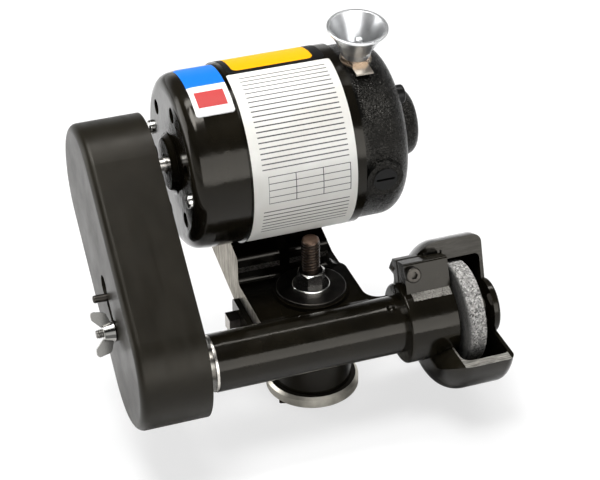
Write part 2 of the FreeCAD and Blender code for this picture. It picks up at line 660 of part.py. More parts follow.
cap_top = cap_r
rim_high = 62.2
rim_r = 14.8
neck_r = 6.6
plate_thick = 0.9
switch_box = block(-8, 8, -6.0, 6.0, 22.5, 34.5)
switch_box.rotate(V(0, 0, 0), V(1, 0, 0), switch_turn - 90)
switch_box.translate(switch_base)
lever_pivot = 45.0
bushing = switch_turned([(2.6, 34.5, 0), (5.8, 34.5, 0), (5.8, cap_top + 5.0, 0.4), (3.4, cap_top + 5.0, 0),
                         (2.6, cap_top - 3.0, 0)])
save("switch_body", switch_box.fuse(bushing).removeSplitter())
tab_reach = 13.3
tab = block(-4.3, 4.3, -tab_reach, 0, cap_top, cap_top + plate_thick)
tab = tab.fuse(Part.makeCylinder(7.8, plate_thick, V(0, 0, cap_top)))
tab = tab.cut(Part.makeCylinder(5.85, 5, V(0, 0, cap_top - 2)))
tab.rotate(V(0, 0, 0), V(1, 0, 0), switch_turn - 90)
tab.translate(switch_base)
save("switch_plate", tab.removeSplitter())
nut_from = cap_top + plate_thick
switch_nut = hexagon(13.4, 2.2, switch_base + switch_axis * nut_from, switch_axis)
save("switch_nut", switch_nut.cut(radial_rod(5.8, 30, 60, switch_turn, switch_x)))
cup_from = nut_from + 2.2
save("switch_guard", switch_turned(
    [(5.85, cup_from, 0), (neck_r + 0.4, cup_from, 0.3), (neck_r + 0.9, cup_from + 3.2, 2.0),
     (rim_r - 1.0, rim_high - 1.6, 1.5), (rim_r, rim_high - 1.2, 0.4), (rim_r, rim_high, 0.5),
     (rim_r - 1.7, rim_high, 0.4), (neck_r - 0.2, cup_from + 3.2, 1.5), (5.85, cup_from + 2.0, 0)]))
lever = switch_turned([(0, lever_pivot - 7.0, 0), (1.2, lever_pivot - 7.0, 0.3),
                       (1.2, lever_pivot - 2.5, 0.5), (2.1, lever_pivot, 0.8), (1.2, lever_pivot + 3, 0.6),
                       (1.55, lever_pivot + 9.0, 0), (2.1, lever_pivot + 10.4, 1.0),
                       (1.6, lever_pivot + 12.2, 0.8), (0, lever_pivot + 12.6, 0)])
lever_lean = 12.0
lever.rotate(switch_base + switch_axis * lever_pivot, V(1, 0, 0), lever_lean)
save("toggle_lever", lever)

# Cord gland in the end of the brush cap
save("cord_gland", turned(
    [(cap_right - 5.2, gland_bore, 0), (cap_right - 5.2, gland_shank, 0), (cap_right, gland_shank, 0),
     (cap_right, gland_r, 0), (cap_right + 4.6, gland_r, 1.2), (cap_right + 4.6, gland_bore, 0)],
    gland_y, gland_z))

# Belt drive: a grooved pulley on each shaft and an endless belt
groove_wide = belt_wide + 2 * belt_clear


def pulley(radius, hub_r, y, z):
    floor_r = radius - belt_thick - belt_clear
    half = groove_wide / 2
    taper = 0.5
    return turned([(belt_x - 5.5, arbor_r, 0), (belt_x - 5.5, radius, 0.8),
                   (belt_x - half - taper, radius, 0), (belt_x - half + taper, floor_r, 0),
                   (belt_x + half - taper, floor_r, 0),
                   (belt_x + half + taper, radius, 0), (belt_x + 5.5, radius, 0.8), (belt_x + 5.5, hub_r, 0),
                   (belt_x + 12, hub_r, 0.6), (belt_x + 12, arbor_r, 0)], y, z)


def set_screw(hub_r, degrees, y, z):
    start = V(belt_x + 8.8, y, z) + unit(degrees) * (arbor_r + 0.02)
    return Part.makeCylinder(1.5, hub_r - arbor_r, start, unit(degrees))


big_hub = 9.0
small_hub = 7.2
big_screw = set_screw(big_hub, 250, spindle_y, spindle_z)
small_screw = set_screw(small_hub, 200, motor_y, motor_z)
save("spindle_pulley", pulley(pulley_big, big_hub, spindle_y, spindle_z).cut(big_screw))
save("spindle_pulley_screw", big_screw)
save("motor_pulley", pulley(pulley_small, small_hub, motor_y, motor_z).cut(small_screw))
save("motor_pulley_screw", small_screw)
belt_top = belt_wide / 2
belt_floor = belt_top - 0.5
low_centre = (spindle_y, spindle_z)
high_centre = (motor_y, motor_z)
belt_path = oval_wire(low_centre, high_centre, pulley_big, pulley_small, belt_x)
belt_start = belt_path.Edges[0].Vertexes[0].Point
belt_inward = V(0, spindle_y, spindle_z) - V(0, belt_start.y, belt_start.z)
belt_inward.normalize()
belt_section = Part.makePolygon(
    [belt_start + V(across, 0, 0) + belt_inward * depth
     for across, depth in ((-belt_top, 0), (belt_top, 0), (belt_floor, belt_thick), (-belt_floor, belt_thick),
                           (-belt_top, 0))])
belt = belt_path.makePipeShell([belt_section], True, True)
save("drive_belt", belt)

# Belt cover: moulded shell, open towards the frame, on a bracket that the spindle housing carries
cover = oval(cover_low, cover_high, cover_r, cover_r, cover_left, cover_right)
cover = cover.makeFillet(4.0, [e for e in cover.Edges if abs(e.BoundBox.XMax - cover_left) < 0.01])
inner_r = cover_r - cover_wall
hollow = oval(cover_low, cover_high, inner_r, inner_r, cover_left + cover_wall, cover_right + 1)
hollow = hollow.makeFillet(
    2.4, [e for e in hollow.Edges if abs(e.BoundBox.XMax - cover_left - cover_wall) < 0.01])
slot_half = 2.7
keyhole_r = 5.0
stud_at = on_cover(stud_along)
pin_at = on_cover(pin_along)
keyhole_at = on_cover(keyhole_along)
cover_slot = oval((stud_at.y, stud_at.z), (keyhole_at.y, keyhole_at.z), slot_half, slot_half,
                  cover_left - 1, cover_left + cover_wall + 1)
keyhole_low = on_cover(keyhole_along - 1.0)
keyhole = oval((keyhole_low.y, keyhole_low.z), (keyhole_at.y, keyhole_at.z), keyhole_r, keyhole_r,
               cover_left - 1, cover_left + cover_wall + 1)
save("belt_cover", cover.cut(hollow).cut(cover_slot.fuse(keyhole)))

plate_right = cover_right - 0.6
plate_left = plate_right - 1.7
bracket = oval(low_centre, (pin_at.y, pin_at.z), 12.0, 6.5, plate_left, plate_right)
post_r = 1.9
collar_r = 3.6
collar_left = cover_left + cover_wall + 0.05
holes = [rod(plate_left - 1, plate_right + 1, 8.02, spindle_y, spindle_z),
         rod(plate_left - 1, plate_right + 1, post_r, stud_at.y, stud_at.z),
         rod(plate_left - 1, plate_right + 1, post_r, pin_at.y, pin_at.z)]
save("cover_bracket", bracket.cut(Part.makeCompound(holes)))


def post(tip, at, tip_round):
    return turned([(tip, 0, 0), (tip, post_r, tip_round), (collar_left, post_r, 0),
                   (collar_left, collar_r, 0), (plate_left, collar_r, 0), (plate_left, post_r, 0),
                   (plate_right, post_r, 0), (plate_right, 0, 0)], at.y, at.z)


save("cover_stud", post(cover_left - 9.2, stud_at, 0.4))
save("cover_pin", post(cover_left - 6.8, pin_at, 1.0))

# Wing nut: a coned hub with two swept wings
hub_left = cover_left - 6.0
wing_hub = turned([(cover_left - 0.05, post_r + 0.05, 0), (cover_left - 0.05, 5.2, 0.6), (hub_left, 3.9, 0.6),
                   (hub_left, post_r + 0.05, 0)], stud_at.y, stud_at.z)
wing_thick = 1.9


def wing(side):
    outline = [(cover_left - 1.0, 3.2 * side, 0), (cover_left - 3.4, 9.6 * side, 2.0),
               (hub_left - 4.6, 11.2 * side, 1.6), (hub_left - 4.4, 7.0 * side, 1.6),
               (hub_left - 0.4, 2.8 * side, 0.8)]
    wire = rounded_wire(outline, lambda p: V(p.x, p.y, -wing_thick / 2))
    return Part.Face(wire).extrude(V(0, 0, wing_thick))


wings = [wing(1), wing(-1)]
wing_turn = 62.0
for w in wings:
    w.rotate(V(0, 0, 0), V(1, 0, 0), wing_turn)
    w.translate(stud_at)
wing_bore = rod(hub_left - 6, cover_left + 1, post_r + 0.05, stud_at.y, stud_at.z)
save("wing_nut", wing_hub.multiFuse(wings).cut(wing_bore).removeSplitter())
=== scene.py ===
import json
import math

import bmesh
import bpy
from mathutils import Matrix, Vector, noise


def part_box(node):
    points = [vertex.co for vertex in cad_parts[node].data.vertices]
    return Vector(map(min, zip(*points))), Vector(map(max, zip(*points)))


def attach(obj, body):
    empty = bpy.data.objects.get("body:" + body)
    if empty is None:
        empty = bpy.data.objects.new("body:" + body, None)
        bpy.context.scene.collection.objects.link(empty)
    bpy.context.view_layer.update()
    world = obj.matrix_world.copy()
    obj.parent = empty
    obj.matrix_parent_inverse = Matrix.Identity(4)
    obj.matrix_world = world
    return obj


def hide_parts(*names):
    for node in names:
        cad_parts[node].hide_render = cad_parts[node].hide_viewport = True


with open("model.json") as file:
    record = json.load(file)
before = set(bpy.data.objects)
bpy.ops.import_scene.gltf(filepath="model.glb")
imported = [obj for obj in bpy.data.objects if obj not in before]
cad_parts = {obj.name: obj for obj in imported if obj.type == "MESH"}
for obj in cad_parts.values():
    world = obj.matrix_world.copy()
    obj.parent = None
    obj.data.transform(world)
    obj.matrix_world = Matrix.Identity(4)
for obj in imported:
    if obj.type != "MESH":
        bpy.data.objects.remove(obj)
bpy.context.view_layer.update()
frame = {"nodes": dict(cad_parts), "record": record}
nodes = frame["nodes"]
scene = bpy.context.scene

mm = 0.001

# camera, in metres in the row frame
view = {
    "place": (-0.2631, -0.7655, 0.6030),
    "heading": 18.61,   # degrees from +Y towards +X
    "down": 32.61,      # degrees below level
    "roll": -0.92,
    "lens": 118.44,     # on a 36 mm wide sensor
    "sensor": 36.0,
    "nearest": 0.01,
}


def setCamera():
    heading, down, roll = [math.radians(view[k]) for k in ("heading", "down", "roll")]
    forward = math.cos(down)
    ahead = Vector((math.sin(heading) * forward, math.cos(heading) * forward, -math.sin(down)))
    level = Vector((math.cos(heading), -math.sin(heading), 0))
    over = level.cross(ahead)
    right = level * math.cos(roll) + over * math.sin(roll)
    up = over * math.cos(roll) - level * math.sin(roll)
    data = bpy.data.cameras.new("camera")
    data.sensor_fit = "HORIZONTAL"
    data.sensor_width = view["sensor"]
    data.lens = view["lens"]
    data.clip_start = view["nearest"]
    camera = bpy.data.objects.new("camera", data)
    turned = Matrix((right, up, -ahead)).transposed().to_4x4()
    camera.matrix_world = Matrix.Translation(view["place"]) @ turned
    scene.collection.objects.link(camera)
    scene.camera = camera


setCamera()
print("camera set")


class Sock:
    # a socket of a node tree; arithmetic on sockets adds Math nodes
    def __init__(self, tree, out):
        self.tree = tree
        self.out = out

    def node(self, kind, settings=None, inputs=None, give=0):
        made = self.tree.nodes.new(kind)
        for name, value in (settings or {}).items():
            if name == "stops":
                ramp = made.color_ramp.elements
                while len(ramp) < len(value):
                    ramp.new(0.5)
                for stop, (place, colour) in zip(ramp, value):
                    stop.position = place
                    stop.color = (*colour, 1)
            else:
                setattr(made, name, value)
        for name, value in (inputs or {}).items():
            if isinstance(value, Sock):
                self.tree.links.new(value.out, made.inputs[name])
            else:
                made.inputs[name].default_value = value
        return Sock(self.tree, made.outputs[give])

    def calc(self, operation, left, right=0.0):
        return self.node("ShaderNodeMath", {"operation": operation}, {0: left, 1: right})

    def __add__(self, other):
        return self.calc("ADD", self, other)

    def __radd__(self, other):
        return self.calc("ADD", other, self)

    def __sub__(self, other):
        return self.calc("SUBTRACT", self, other)

    def __rsub__(self, other):
        return self.calc("SUBTRACT", other, self)

    def __mul__(self, other):
        return self.calc("MULTIPLY", self, other)

    def __rmul__(self, other):
        return self.calc("MULTIPLY", other, self)

    def __gt__(self, other):
        return self.calc("GREATER_THAN", self, other)

    def __lt__(self, other):
        return self.calc("LESS_THAN", self, other)

    # textures on this socket's coordinates, in metres
    def noise(self, size, detail=2.0, rough=0.5):
        inputs = {"Vector": self, "Scale": 1 / size, "Detail": detail, "Roughness": rough}
        return self.node("ShaderNodeTexNoise", {}, inputs)

    def cells(self, size, feature="F1", give=0):
        inputs = {"Vector": self, "Scale": 1 / size}
        return self.node("ShaderNodeTexVoronoi", {"feature": feature}, inputs, give)

    def fade(self, low, high):
        return self.node("ShaderNodeMapRange", {}, {"Value": self, "From Min": low, "From Max": high})

    def blend(self, dark, light):
        ends = [end if isinstance(end, Sock) else (*end, 1) for end in (dark, light)]
        inputs = {0: self, 6: ends[0], 7: ends[1]}
        return self.node("ShaderNodeMix", {"data_type": "RGBA"}, inputs, 2)

    def bump(self, depth, under=None):
        inputs = {"Height": self, "Distance": depth, "Strength": 1.0}
        if under:
            inputs["Normal"] = under
        return self.node("ShaderNodeBump", {}, inputs)

    def part(self, letter):
        return self.node("ShaderNodeSeparateXYZ", {}, {0: self}, "XYZ".index(letter))

    def stretch(self, scale):
        return self.node("ShaderNodeMapping", {}, {"Vector": self, "Scale": scale})

    def near(self, place, width):
        return self.calc("ABSOLUTE", self - place) < width / 2

    def between(self, low, high):
        return (self > low) * (self < high)

    def past(self, low, high):
        # how far outside a span
        off = self.calc("ABSOLUTE", self - (low + high) / 2)
        return self.calc("MAXIMUM", off - (high - low) / 2, 0.0)

    def ruled(self, step, width):
        return self.calc("PINGPONG", self, step / 2) < width / 2

    def facing(self):
        # the surface's direction in the piece's own axes
        return self.node("ShaderNodeTexCoord", {}, {}, "Normal")

    # angle in degrees about a line along X through (y, z), from +Y towards +Z
    def around(self, y, z):
        turn = self.calc("ARCTAN2", self.part("Z") - z, self.part("Y") - y)
        return turn.calc("MODULO", turn * (180 / math.pi) + 360.0, 360.0)


def finish(name, paint):
    # paint takes the object's own coordinates and gives the shader's sockets
    material = bpy.data.materials.new(name)
    material.use_nodes = True
    tree = material.node_tree
    shader = tree.nodes["Principled BSDF"]
    at = Sock(tree, tree.nodes.new("ShaderNodeTexCoord").outputs["Object"])
    for socket, value in paint(at).items():
        if isinstance(value, Sock):
            tree.links.new(value.out, shader.inputs[socket])
        else:
            shader.inputs[socket].default_value = value
    return material


def dim(colour, share):
    return tuple(share * c for c in colour)


# (y, z) of the axis of a turned node that lies along X
def axisOf(node):
    low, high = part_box(node)
    return tuple((low[k] + high[k]) / 2 for k in (1, 2))


motorAxis = axisOf("armature_shaft")
spindleAxis = axisOf("grinding_wheel")

enamelLook = {
    "deep": (0.0040, 0.0033, 0.0020), "worn": (0.0085, 0.0070, 0.0042),
    "patch": 16 * mm, "patchFade": (0.35, 0.7),
    "rough": 0.10, "smear": 9 * mm, "smearFade": (0.3, 0.75), "smearRough": 0.12,
    "gloss": 0.21, "tint": (1.0, 0.95, 0.86, 1),
    "lump": 6.0 * mm, "lumpDepth": 0.09 * mm, "peel": 0.8 * mm, "peelDepth": 0.010 * mm,
}


def enamel(at):
    look = enamelLook
    patches = at.noise(look["patch"], 3.0).fade(*look["patchFade"])
    smears = at.noise(look["smear"], 4.0).fade(*look["smearFade"])
    lumps = at.noise(look["lump"], 3.0).bump(look["lumpDepth"])
    return {
        "Base Color": patches.blend(look["deep"], look["worn"]),
        "Roughness": look["rough"] + look["smearRough"] * smears,
        "Normal": at.noise(look["peel"]).bump(look["peelDepth"], lumps),
        "Specular IOR Level": look["gloss"],
        "Specular Tint": look["tint"],
    }


castLook = {
    "grain": 0.9 * mm, "grainFade": (0.40, 0.62), "bareMetal": 0.85, "bareRough": 0.22,
    "skinSheen": (0.48, 0.46, 0.42),     # painted highlight on the rough sand cast skin
    "sand": 0.4 * mm, "sandFade": (0.40, 0.70), "sandStretch": (0.6, 1.0, 1.0),
    "skinRough": 0.16, "skinRelief": 6.0, "depth": 0.05 * mm,
}


# enamel with bare streaked iron where mask is 1, and coarse sand cast skin with a painted highlight where
# the skin mask is 1
def castPaint(mask, streaks, skinSheen, light, dark):
    look = castLook

    def paint(at):
        base = enamel(at)
        bare = mask(at)
        coarse = skinSheen(at)
        grain = at.stretch(streaks).noise(look["grain"], 4.0, 0.65)
        sand = at.stretch(look["sandStretch"]).noise(look["sand"], 6.0, 0.75)
        iron = grain.fade(*look["grainFade"]).blend(dark, light)
        skinned = (coarse * sand.fade(*look["sandFade"])).blend(base["Base Color"], look["skinSheen"])
        relief = grain * bare + coarse * sand * look["skinRelief"]
        return {
            **base,
            "Base Color": bare.blend(skinned, iron),
            "Metallic": look["bareMetal"] * bare,
            "Roughness": base["Roughness"] + bare * look["bareRough"] + coarse * look["skinRough"],
            "Normal": relief.bump(look["depth"], base["Normal"]),
        }
    return paint


# bare metal on the casting's left side, and a rough cast band with a painted highlight along the front of
# the motor's pad
frameBare = {
    "light": (0.20, 0.195, 0.18), "dark": (0.040, 0.038, 0.035), "streaks": (1.0, 0.9, 0.10),
    "left": (-32.2 * mm, -31.9 * mm), "leftFacing": -0.8,
    "padFront": (17.9 * mm, 19.5 * mm), "padFacing": -0.35,
    "band": (61.5 * mm, 64.5 * mm), "bandShare": 0.45,
}


def framePaint():
    look = frameBare

    def bare(at):
        return at.part("X").between(*look["left"]) * (at.facing().part("X") < look["leftFacing"])

    # a painted highlight along the rough front of the motor's pad
    def skinSheen(at):
        front = at.part("Y").between(*look["padFront"]) * (at.facing().part("Y") < look["padFacing"])
        return look["bandShare"] * (front * at.part("Z").between(*look["band"]))
    return castPaint(bare, look["streaks"], skinSheen, look["light"], look["dark"])


guardBare = {
    "light": (0.60, 0.58, 0.53), "dark": (0.22, 0.21, 0.19), "streaks": (0.12, 1.0, 1.0),
    "lip": -7.4 * mm,               # flat lip, below the spindle
    "lipBand": 0.25 * mm, "lipFacing": 0.9, "lipSpan": (57.0 * mm, 81.0 * mm),
    "wall": -20.0 * mm, "wallFacing": (-0.99, -0.90), "wallShare": 0.05,
    "stripe": (103.0, 117.0),       # painted highlight along the barrel's rough top front, in degrees round the spindle, as is ragged
    "stripeSpan": (40.5 * mm, 60.2 * mm), "stripeFacing": 0.55, "ragged": 7.0, "raggedSize": 2.0 * mm,
}


def guardPaint():
    look = guardBare

    def bare(at):
        lip = at.part("Z").near(spindleAxis[1] + look["lip"], look["lipBand"])
        lip = lip * (at.facing().part("Z") > look["lipFacing"]) * at.part("X").between(*look["lipSpan"])
        wall = (at.part("Y") > look["wall"]) * at.facing().part("Y").between(*look["wallFacing"])
        return lip + look["wallShare"] * wall

    # a painted highlight along the top front of the clamp barrel
    def skinSheen(at):
        turn = at.around(*spindleAxis) + look["ragged"] * (at.noise(look["raggedSize"], 3.0) - 0.5)
        along = at.part("X").between(*look["stripeSpan"])
        return turn.between(*look["stripe"]) * along * (at.facing().part("Z") > look["stripeFacing"])
    return castPaint(bare, look["streaks"], skinSheen, look["light"], look["dark"])


crackleLook = {
    "from": 24.5 * mm, "to": 29.0 * mm, "cell": 1.1 * mm, "edge": (0.0, 0.4), "depth": 0.24 * mm,
    "warp": 1.5 * mm, "warpBy": 0.6 * mm,
    "low": (0.003, 0.003, 0.0028), "high": (0.008, 0.0078, 0.007), "rougher": 0.10, "gloss": 0.16,
}


# end cap: smooth paint beside the band, then a stippled crackle
def crackle(at):
    look = crackleLook
    base = enamel(at)
    swirl = at.node("ShaderNodeTexNoise", {}, {"Vector": at, "Scale": 1 / look["warp"]}, 1)
    shift = at.node("ShaderNodeVectorMath", {"operation": "SCALE"}, {0: swirl, "Scale": look["warpBy"]})
    warped = at.node("ShaderNodeVectorMath", {"operation": "ADD"}, {0: at, 1: shift})
    there = at.part("X").fade(look["from"], look["to"])
    wrinkle = warped.cells(look["cell"], "DISTANCE_TO_EDGE").fade(*look["edge"]) * there
    return {
        **base,
        "Base Color": wrinkle.blend(look["low"], look["high"]),
        "Roughness": base["Roughness"] + look["rougher"] * there,
        "Normal": wrinkle.bump(look["depth"], base["Normal"]),
        "Specular IOR Level": look["gloss"],
    }


mouldingLook = {
    "low": (0.0065, 0.0054, 0.0032), "high": (0.0105, 0.0088, 0.0056),
    "patch": 14 * mm, "patchFade": (0.3, 0.7),
    "rough": 0.34, "rub": 5 * mm, "rubStretch": (1.0, 0.25, 0.25), "rubFade": (0.35, 0.7),
    "rubRough": 0.10,
    "grain": 0.4 * mm, "grainDepth": 0.012 * mm, "wave": 30 * mm, "waveDepth": 0.12 * mm,
    "gloss": 0.17, "tint": enamelLook["tint"],
}


# belt cover: a dull moulding with rubbed patches
def moulding(at):
    look = mouldingLook
    patches = at.noise(look["patch"], 4.0).fade(*look["patchFade"])
    rub = at.stretch(look["rubStretch"]).noise(look["rub"], 4.0, 0.6).fade(*look["rubFade"])
    waves = at.noise(look["wave"]).bump(look["waveDepth"])
    return {
        "Base Color": patches.blend(look["low"], look["high"]),
        "Roughness": look["rough"] + look["rubRough"] * rub,
        "Normal": at.noise(look["grain"]).bump(look["grainDepth"], waves),
        "Specular IOR Level": look["gloss"],
        "Specular Tint": look["tint"],
    }


metalLook = {
    "streak": 0.5 * mm, "streakRough": 0.16, "streakDepth": 0.012 * mm,
    "stain": 6 * mm, "stainFade": (0.3, 0.72),
}


def metal(light, dark, rough, grain=(1, 1, 1)):
    look = metalLook

    def paint(at):
        streak = at.stretch(grain).noise(look["streak"], 4.0, 0.6)
        stain = at.noise(look["stain"], 4.0).fade(*look["stainFade"])
        return {
            "Base Color": stain.blend(light, dark),
            "Metallic": 1.0,
            "Roughness": rough + look["streakRough"] * streak,
            "Normal": streak.bump(look["streakDepth"]),
        }
    return paint


discLook = {
    "light": (0.62, 0.59, 0.52), "dark": (0.42, 0.40, 0.35), "rough": 0.3, "grain": (0.3, 0.3, 1.0),
    # top is a painted shade on the face that lies under the casting
    "top": (0.035, 0.032, 0.027), "topFacing": 0.9, "topRough": 0.15,
}


# steel whose top face is painted dark, as the shade of the casting above it
def discShadedTopPaint(at):
    look = discLook
    base = metal(look["light"], look["dark"], look["rough"], look["grain"])(at)
    top = at.facing().part("Z") > look["topFacing"]
    base["Base Color"] = top.blend(base["Base Color"], look["top"])
    base["Roughness"] = base["Roughness"] + look["topRough"] * top
    return base


studLook = {
    "end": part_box("tee_bolt")[1][2] - 0.4 * mm, "endRun": 1.6 * mm, "bronze": (0.25, 0.165, 0.12),
    "oil": (0.016, 0.013, 0.011), "rust": (0.055, 0.036, 0.025),
    "stain": 2.2 * mm, "stainFade": (0.35, 0.7), "stainRough": 0.2,
    "metal": 0.9, "rough": 0.28, "grain": 0.5 * mm, "grainDepth": 0.02 * mm,
}


# an oiled stud with a bronze coloured end
def studPaint(at):
    look = studLook
    end = at.part("Z").fade(look["end"] - look["endRun"], look["end"])
    stain = at.noise(look["stain"], 4.0, 0.65).fade(*look["stainFade"])
    worn = stain.blend(look["oil"], look["rust"])
    return {
        "Base Color": end.blend(worn, look["bronze"]),
        "Metallic": look["metal"],
        "Roughness": look["rough"] + look["stainRough"] * stain,
        "Normal": at.noise(look["grain"], 3.0).bump(look["grainDepth"]),
    }


gritLook = {
    "grain": 0.75 * mm, "depth": 0.20 * mm, "rough": 0.72,
    "specks": [
        (0.12, (0.06, 0.058, 0.054)), (0.38, (0.20, 0.196, 0.188)),
        (0.62, (0.31, 0.30, 0.285)), (0.86, (0.53, 0.52, 0.50)),
    ],
    "darkTone": (0.022, 0.021, 0.019), "darkToneShare": 0.9,
    "darkToneSpan": (64.8 * mm, 63.5 * mm),     # the wheel's colour is darker on its side towards the guard
}


def stone(at):
    look = gritLook
    tint = at.cells(look["grain"], give=1)
    level = tint.node("ShaderNodeRGBToBW", {}, {0: tint})
    specks = level.node("ShaderNodeValToRGB", {"stops": look["specks"]}, {0: level})
    darkTone = look["darkToneShare"] * at.part("X").fade(*look["darkToneSpan"])
    return {
        "Base Color": darkTone.blend(specks, look["darkTone"]),
        "Roughness": look["rough"],
        "Normal": at.cells(look["grain"]).bump(look["depth"]),
    }


plainLook = {
    "dim": 0.75, "patch": 5 * mm, "smear": 3 * mm, "smearRough": 0.12,
    "grain": 0.6 * mm, "grainDepth": 0.015 * mm,
}


def plain(colour, rough, metallic=0.0, gloss=0.5):
    look = plainLook

    def paint(at):
        return {
            "Base Color": at.noise(look["patch"], 3.0).blend(dim(colour, look["dim"]), colour),
            "Metallic": metallic,
            "Roughness": rough + look["smearRough"] * at.noise(look["smear"], 3.0),
            "Normal": at.noise(look["grain"]).bump(look["grainDepth"]),
            "Specular IOR Level": gloss,
        }
    return paint


edgeLook = {"rough": 0.16, "stain": 0.7}
# each plate's bright colour is a painted highlight and its darker one a painted shade, on one plating
nutLook = {"bright": (0.80, 0.79, 0.76), "shaded": (0.20, 0.195, 0.185), "span": (0.15, 0.97)}
washerLook = {"bright": (0.85, 0.84, 0.80), "shaded": (0.26, 0.255, 0.24), "span": (-0.6, 0.97)}


# plate with a painted highlight where the surface's upward share is in the span, and painted shade
# elsewhere
def edgeHighlightPaint(look):
    def paint(at):
        base = metal(look["shaded"], dim(look["shaded"], edgeLook["stain"]), edgeLook["rough"])(at)
        edges = at.facing().part("Z").between(*look["span"])
        base["Base Color"] = edges.blend(base["Base Color"], look["bright"])
        return base
    return paint


wingLook = {
    "turn": 62.0,       # of the wings at rest, in degrees about X
    # face is a painted shade on the flat faces and rim a painted highlight, on one plating
    "face": (0.075, 0.074, 0.070), "faceShare": 0.8,
    "rim": (0.40, 0.39, 0.37), "rimStain": 0.7, "rough": 0.10,
}


# stamped wings: painted shade on their flat faces, and a painted highlight on the rims and the hub
def wingLitPaint(at):
    look = wingLook
    turn = math.radians(look["turn"])
    out = at.facing()
    across = out.part("Z") * math.cos(turn) - out.part("Y") * math.sin(turn)
    flat = across.calc("ABSOLUTE", across) > look["faceShare"]
    base = metal(look["rim"], dim(look["rim"], look["rimStain"]), look["rough"])(at)
    base["Base Color"] = flat.blend(base["Base Color"], look["face"])
    return base


headLook = {
    "light": (0.050, 0.045, 0.040), "dark": (0.022, 0.020, 0.018), "rough": 0.3,
    # end is a painted highlight on the face turned to the light from the left
    "end": (0.42, 0.40, 0.37), "litEndFacing": -0.8,
}


# a square head whose end face, turned to the light from the left, gets a painted highlight
def headLitEndPaint(at):
    look = headLook
    base = metal(look["light"], look["dark"], look["rough"])(at)
    end = at.facing().part("X") < look["litEndFacing"]
    base["Base Color"] = end.blend(base["Base Color"], look["end"])
    return base


# one finish for each material slot of the record
finishes = {
    "black_enamel": finish("black enamel", enamel),
    "crackle_enamel": finish("crackle enamel", crackle),
    "moulded_black": finish("cover moulding", moulding),
    "machined_steel": finish("turned steel", metal((0.60, 0.58, 0.54), (0.40, 0.38, 0.35), 0.2)),
    "dark_steel": finish("blackened steel", metal((0.060, 0.055, 0.048), (0.024, 0.022, 0.020), 0.26)),
    "zinc": finish("bright zinc", metal((0.66, 0.65, 0.62), (0.42, 0.41, 0.39), 0.14)),
    "bearing_steel": finish("bearing steel", metal((0.62, 0.62, 0.62), (0.5, 0.5, 0.5), 0.2)),
    "abrasive": finish("grit wheel", stone),
    "blotter_paper": finish("blotter paper", plain((0.10, 0.095, 0.085), 0.8)),
    "laminated_iron": finish("laminated iron", plain((0.22, 0.22, 0.23), 0.45, 0.9)),
    "copper": finish("copper wire", plain((0.62, 0.26, 0.12), 0.3, 1.0)),
    "pulley_alloy": finish("pulley alloy", metal((0.74, 0.74, 0.75), (0.6, 0.6, 0.61), 0.25)),
    "fan_moulding": finish("fan moulding", plain((0.03, 0.03, 0.03), 0.5)),
    "brass": finish("brass tube", plain((0.7, 0.48, 0.18), 0.25, 1.0)),
    "carbon": finish("carbon", plain((0.02, 0.02, 0.02), 0.6)),
    "spring_steel": finish("spring wire", plain((0.5, 0.5, 0.5), 0.25, 1.0)),
    "black_moulding": finish("black moulding", plain((0.005, 0.005, 0.0048), 0.3, gloss=0.16)),
    "chrome": finish("satin plate", metal((0.62, 0.625, 0.63), (0.46, 0.465, 0.47), 0.26)),
    "belt_rubber": finish("belt rubber", plain((0.016, 0.016, 0.016), 0.7)),
}
# nodes that look different from the rest of their slot
special = {
    "frame_casting": finish("frame enamel", framePaint()),
    "wheel_guard": finish("guard enamel", guardPaint()),
    "base_disc": finish("disc steel", discShadedTopPaint),
    "tee_bolt": finish("oiled stud", studPaint),
    "lock_screw": finish("square head", headLitEndPaint),
    "stud_nut": finish("nut plate", edgeHighlightPaint(nutLook)),
    "flat_washer": finish("washer plate", edgeHighlightPaint(washerLook)),
    "outer_flange": finishes["dark_steel"],
    "arbor_nut": finishes["dark_steel"],
    "wing_nut": finish("wing plate", wingLitPaint),
    "cover_stud": finish("cover stud plate", metal((0.15, 0.145, 0.135), (0.09, 0.087, 0.08), 0.26)),
    "switch_nut": finish("tan plate", metal((0.62, 0.50, 0.40), (0.46, 0.36, 0.28), 0.2)),
    "switch_plate": finish("stamped tab", metal((0.66, 0.60, 0.52), (0.50, 0.45, 0.38), 0.22)),
}
for row in frame["record"]["subparts"]:
    slots = nodes[row["node"]].data.materials
    slots.clear()
    slots.append(special.get(row["node"], finishes[row["material_slot"]]))
print("finishes:", len(finishes) + len(special))


def addPiece(name, points, faces, material, body, smooth=True):
    mesh = bpy.data.meshes.new(name)
    mesh.from_pydata(points, [], faces)
    mesh.validate()
    shell = bmesh.new()
    shell.from_mesh(mesh)
    bmesh.ops.recalc_face_normals(shell, faces=shell.faces)
    shell.to_mesh(mesh)
    shell.free()
    mesh.polygons.foreach_set("use_smooth", [smooth] * len(mesh.polygons))
    mesh.materials.append(material)
    piece = bpy.data.objects.new(name, mesh)
    scene.collection.objects.link(piece)
    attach(piece, body)
    return piece


